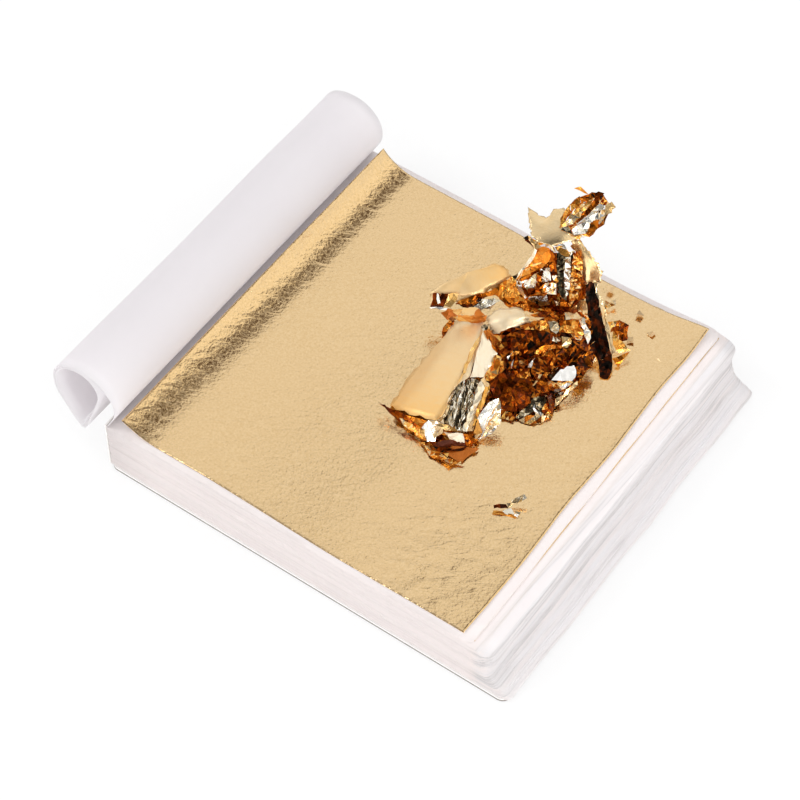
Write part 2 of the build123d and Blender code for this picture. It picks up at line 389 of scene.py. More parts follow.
print("leaf stack")
step = stack["pitch"] / stack["sheetsPerBody"]
topLayer = stack["sheetsPerBody"] - 1
for number in range(1, stack["bodies"] + 1):
    last = number == stack["bodies"]
    tissues, golds = [], []
    for layer in range(stack["sheetsPerBody"]):
        z = stack["firstZ"] + (number - 1) * stack["pitch"] + layer * step + stack["sheetLift"]
        level = (z - stack["firstZ"]) / (stack["bodies"] * stack["pitch"])
        seed = number + layer * 0.37
        if last and layer == topLayer:
            tissues.append(tissueRows(z, level, foreEdge(level) - stack["topSetback"], seed))
            continue
        edgeX = foreEdge(level) + 0.18 * wobble(z * 7, number, 0.5, 1.0)
        tissues.append(tissueRows(z, level, edgeX, seed))
        high = stack["lastGoldRight"] if last and layer == topLayer - 1 else stack["goldX"][1]
        golds.append(goldRows(z + stack["goldGap"], level, seed, high))
    body, digits = f"leaf_{number:02d}", f"{number:02d}"
    piece = newPiece(f"tissueLeaf.{digits}", *joinSheets(tissues), tissuePaper, body, "tissue",
                     stack["sheetThick"])
    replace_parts(piece, f"tissue_leaf_{digits}")
    piece = newPiece(f"goldLeaf.{digits}", *joinSheets(golds), packedGold, body, "gold_leaf",
                     stack["goldThick"])
    if not last:
        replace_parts(piece, f"foil_leaf_{digits}")

# rolled tissue leaf
roll = {
    "rootX": -46.45, "rootZ": 12.92, "width": 14.3, "height": 19.3, "halfDepth": 43.8, "thick": 0.11,
    "route": ((0.02, 0.0), (0.18, 0.24), (0.22, 0.694), (-0.839, 0.694), (-0.846, 0.166), (-0.406, -0.306),
              (0.049, 0.653), (-0.790, 0.653), (-0.797, 0.177), (-0.420, -0.227), (-0.304, 0.018)),
    "bends": (6.0, 7.0, 7.0, 6.0, 1.0, 4.2, 6.0, 5.0, 0.8),
    "middle": (-5.0, 5.0), "rowsAlong": 37, "step": 0.7,
}


def roundedRoute(points, bends, step):
    # straight runs with a round bend at each inner point, sampled every step
    path = [Vector(points[0])]
    for here, before, after, bend in zip(points[1:-1], points[:-2], points[2:], bends):
        here, toBack, toNext = Vector(here), Vector(before) - Vector(here), Vector(after) - Vector(here)
        half = toBack.angle(toNext) / 2
        reach = bend / math.tan(half)
        start, end = here + toBack.normalized() * reach, here + toNext.normalized() * reach
        centre = here + (toBack.normalized() + toNext.normalized()).normalized() * (bend / math.sin(half))
        first, last = start - centre, end - centre
        count = max(3, int(first.angle(last) * bend / step))
        path += [centre + first.slerp(last, i / count).normalized() * bend for i in range(count + 1)]
    path.append(Vector(points[-1]))
    dense = [path[0]]
    for nearer, further in zip(path, path[1:]):
        length = (further - nearer).length
        if length < 1e-6:
            continue
        parts = max(1, int(length / (step * 1.6)))
        dense += [nearer.lerp(further, i / parts) for i in range(1, parts + 1)]
    return dense


print("rolled tissue leaf")
corners = [(across * roll["width"], up * roll["height"]) for across, up in roll["route"]]
section = roundedRoute(corners, roll["bends"], roll["step"])
middle = Vector(roll["middle"])
rows = []
for number, spot in enumerate(section):
    along = number / (len(section) - 1)
    free = ease(along * 8)
    row = []
    for j in range(roll["rowsAlong"]):
        side = -1 + 2 * j / (roll["rowsAlong"] - 1)
        y = side * roll["halfDepth"] + 0.25 * free * wobble(spot.x, spot.y, side * 3, 9)
        soft = 0.28 * free * wobble(spot.x * 0.6, y, spot.y * 0.6, 17)
        away = (spot - middle).normalized() * soft
        row.append((roll["rootX"] + spot.x + away.x, y, roll["rootZ"] + spot.y + away.y))
    rows.append(row)
piece = newPiece("rolledTissue", *joinSheets([rows]), rollPaper, "rolled_leaf", "tissue", roll["thick"])
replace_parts(piece, "rolled_tissue_leaf")

# open gold leaf
openLeaf = {
    "width": 80.0, "depth": 85.0, "right": 36.15, "half": 42.5, "z": 12.80, "lift": 0.16, "edgeRaise": 1.3,
    "curlRun": 9.5, "curlAngles": (34.0, 52.0), "cell": 0.5, "thick": 0.03,
}


def openLeafPoint(run, y):
    # run is the distance from the right edge along the leaf; its last part curls up, most at the back
    front, back = openLeaf["curlAngles"]
    angle = math.radians(front + (back - front) * ease((y + 42) / 60))
    radius, flat = openLeaf["curlRun"] / angle, openLeaf["width"] - openLeaf["curlRun"]
    if run <= flat:
        return openLeaf["right"] - run, openLeaf["z"]
    swing = (run - flat) / radius
    return (openLeaf["right"] - flat - radius * math.sin(swing),
            openLeaf["z"] + radius * (1 - math.cos(swing)))


print("open gold leaf")
rows, grains = [], []
across = int(openLeaf["width"] / openLeaf["cell"]) + 1
along = int(openLeaf["depth"] / openLeaf["cell"]) + 1
for i in range(across):
    run = openLeaf["width"] * i / (across - 1)
    row = []
    for j in range(along):
        y = -openLeaf["half"] + openLeaf["depth"] * j / (along - 1)
        x, z = openLeafPoint(run, y)
        x += ease(1 - run / 3) * 0.5 * wobble(y, 1.0, 2.0, 17)
        crease = ease((x - 2) / 22) * ease((-y - 8) / 20) * ease((38 - x) / 12)
        crumple = noise.turbulence(Vector((x / 5, y / 3.2, 0.4)), 3, True)
        z += leafHeight(1.0, x, y) + openLeaf["lift"] + openLeaf["edgeRaise"] * overhang(x)
        z += 0.05 * wobble(x, y, 0.0, 9) + (0.03 + 0.22 * crease) * crumple
        z += 0.9 * ease((x - 26) / 12) * ease((y - 33) / 10)
        row.append((x, y, z))
        curled = ease((run - 66) / 9)
        patch = noise.noise(Vector((x / 11, y / 7, 3.0)))
        grains.append(min(1.0, 0.16 + 0.10 * patch + 0.6 * curled + crease * (0.55 + 0.9 * patch)))
    rows.append(row)
piece = newPiece("openGoldLeaf", *joinSheets([rows]), leafGold, "open_foil", "gold_leaf", openLeaf["thick"])
piece.data.attributes.new("leafGrain", "FLOAT", "POINT").data.foreach_set("value", grains)
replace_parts(piece, "open_foil_leaf")

# torn and crumpled leaf
# A spot is a pixel of the photo, across and down, and a height in millimetres; a spot with no height takes
# it from the piece's relief. Plates are smooth: (first and last tone, crackle, rows of spots). Backing and
# patches are flat torn facets: (tone, crackle, spots), with the backing beneath. A tone is painted
# reflection:
# it runs from 0, dark bronze as if mirroring shade, to 1, a near-white painted highlight; above 1 it is a
# painted neutral glare, mottled black to white, that reads as silver. Crackle runs from 0, smooth, to 1,
# crackled.
tornLeft = dict(body="torn_left", node="torn_leaf_left", seed=46, backing=[
    (0.3, 1, [(441, 350, 13.2), (470, 335, 14.5), (492, 345, 14.5), (500, 372, 13.6), (488, 412, 13.2),
        (466, 433, 13.1), (440, 424, 13.2), (405, 400, 13.1)]),
], plates=[
    ((0.8, 0.64), 0, [
        [(446, 334, 13.3), (460, 320, 16.4), (484, 321, 18.8)],
        [(427, 355, 13.1), (448, 345, 16.6), (475, 351, 19.0)],
        [(407, 380, 13.1), (430, 378, 16.8), (457, 385, 18.8)],
        [(389, 405, 13.4), (409, 414, 16.2), (438, 421, 17.6)],
    ]),
], patches=[
    (0.8, 0, [(475, 351, 19.0), (483, 331, 20.2), (470, 377, 18.4), (457, 385, 18.8)]),
    (0.86, 0, [(483, 331, 20.2), (497, 354, 17.2), (484, 377, 16.9), (470, 377, 18.4)]),
    (1.5, 0.9, [(457, 386, 18.7), (463, 381, 18.4), (450, 426, 15.8), (444, 423, 16.0)]),
    (1.8, 0.9, [(463, 381, 18.4), (467, 378, 18.3), (454, 428, 15.5), (450, 426, 15.8)]),
    (1.34, 0.9, [(467, 378, 18.3), (471, 378, 18.0), (457, 430, 15.1), (454, 428, 15.5)]),
    (1.62, 1.0, [(471, 378, 18.0), (475, 379, 17.6), (460, 431, 14.9), (457, 430, 15.1)]),
    (1.42, 0.9, [(475, 379, 17.6), (479, 380, 17.1), (463, 432, 14.6), (460, 431, 14.9)]),
    (1.7, 0.8, [(479, 380, 17.1), (485, 387, 16.2), (467, 432, 14.4), (463, 432, 14.6)]),
    (0.8, 0.3, [(457, 385, 18.8), (449, 406, 17.0), (444, 424, 16.0), (438, 421, 17.6)]),
    (0.72, 0, [(481, 380, 16.8), (484, 377, 16.9), (491, 385, 15.8), (471, 433, 14.0), (466, 432, 14.4),
        (485, 387, 16.2)]),
    (0.6, 0.2, [(497, 354, 17.2), (505, 361, 15.4), (496, 371, 15.6), (484, 377, 16.9)]),
    (0.4, 0.4, [(483, 331, 20.2), (490, 329, 18.8), (500, 343, 16.4), (497, 354, 17.2)]),
    (0.34, 1, [(441, 346, 13.3), (443, 328, 14.2), (451, 319, 15.4), (458, 323, 15.0), (455, 334, 13.8)]),
    (0.3, 0, [(440, 313, 17.6), (449, 309, 19.4), (458, 315, 20.4), (447, 320, 16.6)]),
    (0.62, 0, [(449, 309, 19.4), (464, 308, 20.2), (458, 315, 20.4)]),
    (0.66, 0, [(464, 308, 20.2), (479, 308, 20.4), (474, 315, 20.6), (458, 315, 20.4)]),
    (0.36, 0, [(479, 308, 20.4), (487, 316, 19.6), (474, 315, 20.6)]),
    (0.33, 0, [(487, 316, 19.6), (484, 323, 18.2), (470, 323, 17.8), (474, 315, 20.6)]),
    (0.42, 0, [(458, 315, 20.4), (474, 315, 20.6), (470, 323, 17.8), (456, 320, 17.4)]),
    (0.14, 0, [(458, 315, 20.4), (456, 320, 17.4), (447, 320, 16.6)]),
    (0.62, 0.1, [(470, 352, 18.9), (482, 331, 20.1), (478, 345, 19.6), (466, 372, 18.9), (458, 384, 18.9)]),
    (0.4, 0.8, [(446, 347, 13.6), (452, 330, 15.6), (458, 334, 15.4), (452, 350, 14.2), (445, 356, 13.4)]),
    (0.16, 0.2, [(456, 334, 16.2), (462, 330, 16.8), (462, 338, 16.6), (459, 340, 16.2)]),
    (0.93, 0.1, [(487, 331, 19.0), (490, 340, 18.2), (486, 352, 17.8), (483, 344, 18.6)]),
    (1.45, 0.9, [(481, 326, 19.4), (486, 323, 19.2), (488, 330, 18.9), (484, 332, 19.2)]),
    (0.55, 0.2, [(485, 387, 16.4), (491, 385, 16.0), (478, 418, 14.8), (471, 433, 14.2), (474, 418, 14.9)]),
    (0.86, 0.1, [(478, 386, 17.0), (481, 380, 17.0), (485, 388, 16.4), (466, 431, 14.6), (462, 431, 14.8),
        (472, 405, 15.8)]),
])
tornFront = dict(body="torn_front", node="torn_leaf_front", seed=50, backing=[
    (0.35, 1, [(385, 407, 14.6), (428, 424, 14.8), (466, 436, 13.6), (480, 440, 13.2), (476, 447, 13.2),
        (445, 452, 13.1), (418, 438, 13.1)]),
], patches=[
    (0.12, 0.2, [(380, 404, 15.6), (392, 409, 15.8), (400, 422, 14.2)]),
    (0.2, 0.3, [(392, 409, 15.8), (406, 415, 16.2), (409, 425, 14.6), (400, 422, 14.2)]),
    (0.34, 0.4, [(406, 415, 16.2), (428, 420, 17.0), (421, 428, 15.8), (409, 425, 14.6)]),
    (0.6, 0.4, [(409, 425, 14.6), (421, 428, 15.8), (428, 441, 14.4), (418, 438, 13.3)]),
    (1.0, 0.3, [(429, 420, 17.4), (444, 423, 17.0), (438, 432, 15.0), (434, 442, 13.8), (428, 441, 14.4),
        (421, 428, 15.8)]),
    (0.75, 0, [(444, 423, 17.0), (443, 432, 16.2), (430, 443, 13.6), (438, 432, 15.0)]),
    (0.9, 0, [(443, 432, 16.2), (463, 433, 16.2), (465, 443, 14.6), (449, 440, 14.8)]),
    (0.08, 0, [(449, 440, 14.8), (465, 443, 14.6), (466, 446, 13.8), (452, 447, 13.4), (440, 449, 13.2),
        (430, 443, 13.6)]),
    (0.3, 0, [(452, 447, 13.4), (466, 446, 13.8), (480, 448, 13.4), (462, 462, 13.2), (447, 456, 13.2)]),
    (0.58, 0.4, [(440, 449, 13.2), (452, 447, 13.4), (447, 456, 13.2)]),
    (0.16, 0.2, [(464, 433, 14.4), (472, 431, 14.6), (476, 441, 13.6), (467, 446, 13.5)]),
    (0.93, 0.1, [(499, 398, 18.4), (488, 402, 17.6), (478, 419, 15.6), (482, 433, 14.0), (496, 413, 17.2)]),
    (0.5, 0, [(478, 419, 15.6), (473, 436, 13.6), (482, 433, 14.0)]),
    (0.78, 0.3, [(499, 398, 18.4), (496, 413, 17.2), (484, 430, 14.6), (501, 424, 15.8), (501, 409, 17.6)]),
    (0.95, 0.1, [(501, 424, 15.8), (492, 434, 14.2), (477, 441, 13.2), (484, 430, 14.6)]),
    (0.45, 0.2, [(496, 413, 17.2), (482, 433, 14.0), (477, 441, 13.2), (484, 430, 14.6)]),
    (0.1, 0.2, [(378, 402, 15.9), (384, 405, 15.9), (396, 414, 15.4), (390, 411, 15.4)]),
    (0.62, 0.6, [(398, 418, 14.9), (412, 424, 15.2), (418, 433, 14.3), (408, 429, 14.5)]),
    (0.07, 0.3, [(428, 441, 14.2), (440, 447, 13.8), (455, 449, 13.6), (468, 446, 13.8), (462, 451, 13.4),
        (440, 453, 13.3)]),
    (0.66, 0.3, [(434, 424, 17.2), (448, 425, 17.0), (458, 431, 16.4), (446, 430, 16.6)]),
    (0.2, 0.6, [(462, 434, 15.2), (474, 434, 14.6), (476, 442, 13.8), (466, 446, 13.8)]),
    (0.5, 0.9, [(418, 438, 13.6), (432, 446, 13.5), (448, 458, 13.3), (464, 463, 13.2), (450, 466, 13.15),
        (430, 455, 13.2)]),
    (0.98, 0.1, [(497, 402, 18.4), (491, 414, 17.0), (482, 428, 15.2), (486, 417, 16.2)]),
    (0.72, 0.4, [(497, 415, 16.8), (493, 428, 15.2), (482, 438, 13.9), (488, 424, 15.3)]),
])
tornCurl = dict(body="torn_curl", node="torn_leaf_curl", seed=25, plates=[
    ((0.73, 0.64), 0, [
        [(430, 306, 19.4), (431, 292, 21.0), (441, 287, 21.4), (449, 296, 20.2)],
        [(452, 303, 19.6), (448, 284, 22.2), (460, 279, 22.6), (470, 297, 20.6)],
        [(474, 298, 20.0), (466, 277, 22.8), (478, 271, 23.2), (492, 288, 21.0)],
        [(500, 286, 20.6), (487, 269, 22.6), (499, 264, 23.0), (514, 276, 21.2)],
    ]),
], patches=[
    (0.1, 0, [(430, 306, 19.0), (432, 293, 20.8), (449, 294, 20.6), (443, 307, 19.0)]),
    (0.12, 0.6, [(455, 304, 19.4), (475, 295, 20.2), (483, 299, 19.8), (468, 307, 19.0)]),
    (1.6, 1, [(468, 307, 19.0), (483, 299, 19.8), (498, 300, 19.4), (490, 309, 18.8)]),
    (0.42, 0.1, [(489, 284, 20.8), (515, 277, 20.8), (518, 298, 18.6), (500, 300, 19.2)]),
    (0.16, 0.15, [(431, 305, 19.5), (433, 294, 21.2), (441, 293, 21.2), (438, 305, 19.6)]),
    (0.13, 0.15, [(438, 305, 19.6), (441, 293, 21.2), (449, 294, 21.0), (444, 306, 19.4)]),
    (0.95, 0.0, [(437, 304, 19.9), (437, 294, 21.3), (439, 294, 21.3), (440, 303, 19.9)]),
    (0.62, 0.1, [(444, 306, 19.4), (449, 294, 21.0), (458, 293, 21.0), (455, 303, 19.8), (450, 307, 19.2)]),
    (0.3, 0.5, [(455, 305, 19.2), (462, 299, 20.2), (475, 296, 20.4), (492, 290, 21.0), (500, 291, 20.6),
        (488, 297, 20.0), (470, 304, 19.4)]),
    (0.14, 0.8, [(460, 307, 19.0), (468, 301, 19.9), (478, 298, 20.2), (484, 299, 20.0), (474, 305, 19.3),
        (466, 309, 18.8)]),
    (1.62, 0.8, [(474, 307, 19.2), (482, 300, 19.9), (494, 297, 20.2), (500, 300, 19.8), (492, 306, 19.2),
        (480, 311, 18.8)]),
    (0.45, 0.5, [(490, 291, 21.0), (500, 284, 21.4), (512, 277, 21.5), (516, 282, 20.8), (514, 292, 19.9),
        (506, 298, 19.6), (498, 297, 20.0)]),
    (0.34, 0.5, [(498, 297, 20.0), (506, 293, 20.2), (516, 292, 19.8), (524, 300, 19.0), (514, 303, 18.9),
        (503, 301, 19.4)]),
    (0.98, 0.1, [(429, 307, 19.1), (437, 307, 19.1), (446, 308, 18.9), (452, 309, 18.8), (440, 310, 18.6),
        (432, 309, 18.8)]),
])
tornMiddle = dict(body="torn_middle", node="torn_leaf_middle", seed=79, relief=[
    (499, 339, 16.8), (513, 327, 18.4), (531, 321, 18.8), (546, 330, 18.6), (554, 341, 17.4),
    (541, 352, 15.6), (521, 359, 14.8), (504, 352, 15.2), (507, 350, 16.4), (514, 349, 16.6),
    (513, 365, 15.2), (509, 366, 15.0), (528, 360, 16.2), (536, 356, 16.8), (533, 367, 15.6),
    (532, 358, 15.4), (541, 345, 17.6), (557, 338, 18.0), (553, 349, 16.8), (543, 357, 15.6),
    (561, 336, 18.8), (570, 335, 19.0), (570, 346, 17.8), (562, 347, 17.6), (585, 346, 17.2),
    (590, 362, 15.0), (568, 365, 15.4), (556, 352, 16.6), (489, 379, 16.2), (503, 364, 17.6),
    (521, 367, 17.4), (539, 379, 16.2), (533, 395, 14.6), (515, 406, 13.6), (500, 409, 13.6),
    (493, 400, 14.6), (551, 381, 16.4), (560, 369, 17.6), (573, 366, 17.8), (576, 373, 17.0),
    (571, 381, 16.0), (550, 384, 15.6), (574, 384, 15.2), (556, 405, 13.2), (553, 395, 13.8),
    (511, 418, 13.2), (525, 406, 15.0), (534, 402, 15.6), (545, 397, 16.4), (549, 401, 15.4),
    (538, 409, 14.2), (519, 419, 13.2), (543, 416, 13.3), (534, 408, 14.6), (546, 318, 19.4),
    (560, 320, 19.6), (558, 331, 18.4), (548, 329, 18.4), (562, 318, 19.8), (586, 322, 19.0),
    (584, 334, 17.8), (566, 334, 18.0), (592, 345, 16.8), (577, 318, 19.6), (545, 357, 15.0),
    (552, 368, 15.0), (548, 380, 14.4), (538, 368, 15.4),
], backing=[
    (0.16, 1, [(490, 332, 15.0), (530, 322, 16.4), (560, 316, 16.6), (592, 322, 15.0), (594, 360, 13.6),
        (576, 384, 13.2), (556, 408, 13.1), (520, 421, 13.1), (500, 416, 13.1), (486, 380, 14.0),
        (494, 352, 14.6)]),
], plates=[
    ((0.8, 0.82), 0, [
        [(487, 318, 18.6), (500, 308, 19.4), (521, 309, 19.6)],
        [(489, 326, 18.2), (505, 318, 19.6), (527, 316, 19.2)],
        [(494, 334, 17.0), (508, 328, 18.4), (530, 322, 17.8)],
    ]),
], patches=[
    (0.13, 0.45, [(500, 341), (510, 335), (520, 329), (530, 330), (533, 338), (524, 348), (512, 350),
        (503, 348)]),
    (0.34, 0.9, [(520, 329), (527, 322), (540, 320), (546, 322), (548, 328), (556, 336), (550, 333),
        (540, 330), (530, 330)]),
    (0.1, 0.5, [(530, 330), (540, 330), (550, 333), (556, 337), (550, 345), (540, 352), (530, 358),
        (521, 357), (520, 350), (526, 342)]),
    (0.02, 0.4, [(536, 333), (545, 332), (549, 338), (540, 342)]),
    (0.36, 0.5, [(535, 353), (545, 346), (555, 344), (562, 346), (561, 349), (548, 350), (541, 357),
        (536, 357)]),
    (0.64, 0.4, [(540, 355), (548, 349), (555, 347), (549, 352), (543, 357)]),
    (0.2, 0.9, [(503, 350), (512, 350), (520, 352), (521, 360), (518, 368), (513, 368), (508, 362)]),
    (0.42, 1.0, [(520, 359), (530, 357), (528, 366), (523, 368), (519, 364)]),
    (0.45, 0.8, [(512, 343), (518, 340), (519, 345), (514, 348)]),
    (1.35, 1.0, [(508, 346), (511, 339), (517, 337), (515, 342), (511, 348)]),
    (1.0, 0.2, [(507, 357), (512, 352), (513, 359), (513, 365), (511, 368), (509, 362)]),
    (1.55, 0.8, [(504, 352), (509, 350), (508, 356), (505, 356)]),
    (1.0, 0.1, [(535, 358), (534, 361), (530, 368), (527, 368), (531, 361)]),
    (0.13, 0.35, [(489, 380), (500, 373), (510, 371), (520, 379), (519, 387), (510, 391), (500, 398),
        (494, 396), (490, 388)]),
    (0.15, 0.35, [(520, 379), (530, 377), (533, 387), (531, 395), (530, 402), (520, 410), (512, 412),
        (505, 410), (501, 404), (500, 398), (510, 391), (519, 387)]),
    (0.3, 0.9, [(510, 371), (518, 369), (529, 369), (531, 376), (530, 377), (520, 379)]),
    (0.22, 0.7, [(533, 387), (537, 378), (545, 378), (549, 384), (549, 392), (540, 393), (536, 397),
        (531, 397)]),
    (0.22, 0.8, [(531, 358), (545, 357), (556, 358), (562, 362), (560, 366), (549, 372), (546, 378),
        (537, 378), (532, 372)]),
    (0.72, 0.2, [(532, 386), (539, 375), (541, 375), (535, 386)]),
    (0.45, 0.5, [(490, 362), (497, 360), (503, 361), (507, 366), (504, 370), (496, 377), (490, 381),
        (484, 380), (481, 377), (487, 369)]),
    (0.64, 0.3, [(491, 373), (500, 366), (506, 364), (506, 368), (497, 375)]),
    (0.4, 0.8, [(486, 331), (492, 331), (499, 336), (502, 340), (503, 348), (509, 352), (502, 358),
        (493, 345)]),
    (0.14, 0.6, [(556, 350), (563, 349), (572, 347), (580, 348), (588, 352), (593, 362), (592, 368),
        (580, 371), (575, 366), (567, 365), (560, 365), (556, 358)]),
    (0.05, 0.4, [(580, 358), (590, 360), (588, 368), (580, 370), (577, 364)]),
    (1.3, 1.0, [(548, 375), (553, 370), (558, 368), (556, 374), (551, 379)]),
    (0.6, 0.7, [(546, 377), (550, 380), (552, 384), (556, 384), (570, 381), (574, 381), (570, 385),
        (560, 388), (551, 391), (549, 387), (547, 383)]),
    (1.0, 0.0, [(551, 380, 16.6), (560, 370, 17.6), (567, 366, 17.9), (574, 365, 17.9), (577, 370, 17.4),
        (575, 378, 16.6), (572, 381, 16.3), (561, 381, 16.4)]),
    (0.98, 0.1, [(553, 391), (560, 386), (568, 382), (571, 384), (565, 388), (558, 392), (554, 392)]),
    (1.4, 0.9, [(554, 393), (563, 391), (568, 387), (560, 395), (556, 398)]),
    (0.72, 0.1, [(555, 407, 13.6), (556, 399, 14.2), (563, 394, 14.8), (571, 386, 15.6), (577, 381, 16.2),
        (578, 384, 15.8), (567, 394, 14.6), (557, 406, 13.6)]),
    (0.12, 0.3, [(549, 392), (553, 393), (555, 400), (554, 408), (551, 414), (549, 405), (547, 398)]),
    (0.33, 0.9, [(548, 401), (551, 405), (551, 413), (545, 415), (542, 410), (545, 404)]),
    (1.22, 1.0, [(515, 417, 13.3), (520, 412, 13.8), (530, 403, 15.2), (534, 397, 15.8), (544, 396, 16.2),
        (547, 401, 15.6), (543, 408, 14.6), (541, 412, 14.0), (536, 408, 14.4), (530, 414, 13.6),
        (524, 417, 13.4), (518, 419, 13.2)]),
    (1.0, 0.2, [(533, 407, 14.7), (535, 404, 15.0), (536, 409, 14.5), (543, 414, 13.9), (540, 416, 13.7),
        (535, 412, 14.1)]),
    (0.4, 1.0, [(500, 410, 13.6), (505, 411, 13.6), (512, 413, 13.6), (515, 417, 13.3), (512, 420, 13.2),
        (505, 419, 13.2), (501, 418, 13.2)]),
    (0.5, 1.0, [(518, 420, 13.15), (530, 415, 13.6), (541, 417, 13.6), (549, 414, 13.8), (554, 416, 13.3),
        (545, 421, 13.15), (530, 424, 13.1)]),
    (0.78, 0.3, [(547, 322), (551, 318), (557, 322), (560, 328), (556, 334), (550, 329)]),
    (0.38, 0.7, [(560, 320), (572, 318), (581, 320), (584, 330), (583, 336), (571, 334), (560, 332)]),
    (0.72, 0.4, [(570, 333), (580, 334), (583, 336), (580, 340), (572, 338)]),
    (0.68, 0.2, [(562, 337), (570, 337), (571, 344), (566, 348), (562, 346)]),
    (1.7, 0.8, [(553, 337), (562, 338), (561, 340), (556, 342), (552, 341)]),
    (0.2, 0.7, [(572, 340), (580, 342), (586, 346), (588, 352), (580, 349), (572, 347)]),
    (0.9, 0.3, [(578, 320), (583, 318), (586, 325), (590, 332), (591, 338), (588, 343), (585, 338),
        (584, 330)]),
    (0.2, 0.5, [(586, 322), (591, 320), (592, 334), (589, 330)]),
    (0.22, 0.8, [(530, 315), (540, 312), (548, 312), (560, 318), (556, 322), (545, 318), (535, 318)]),
    (0.8, 0.1, [(564, 313), (570, 312), (578, 318), (570, 320), (565, 319)]),
])
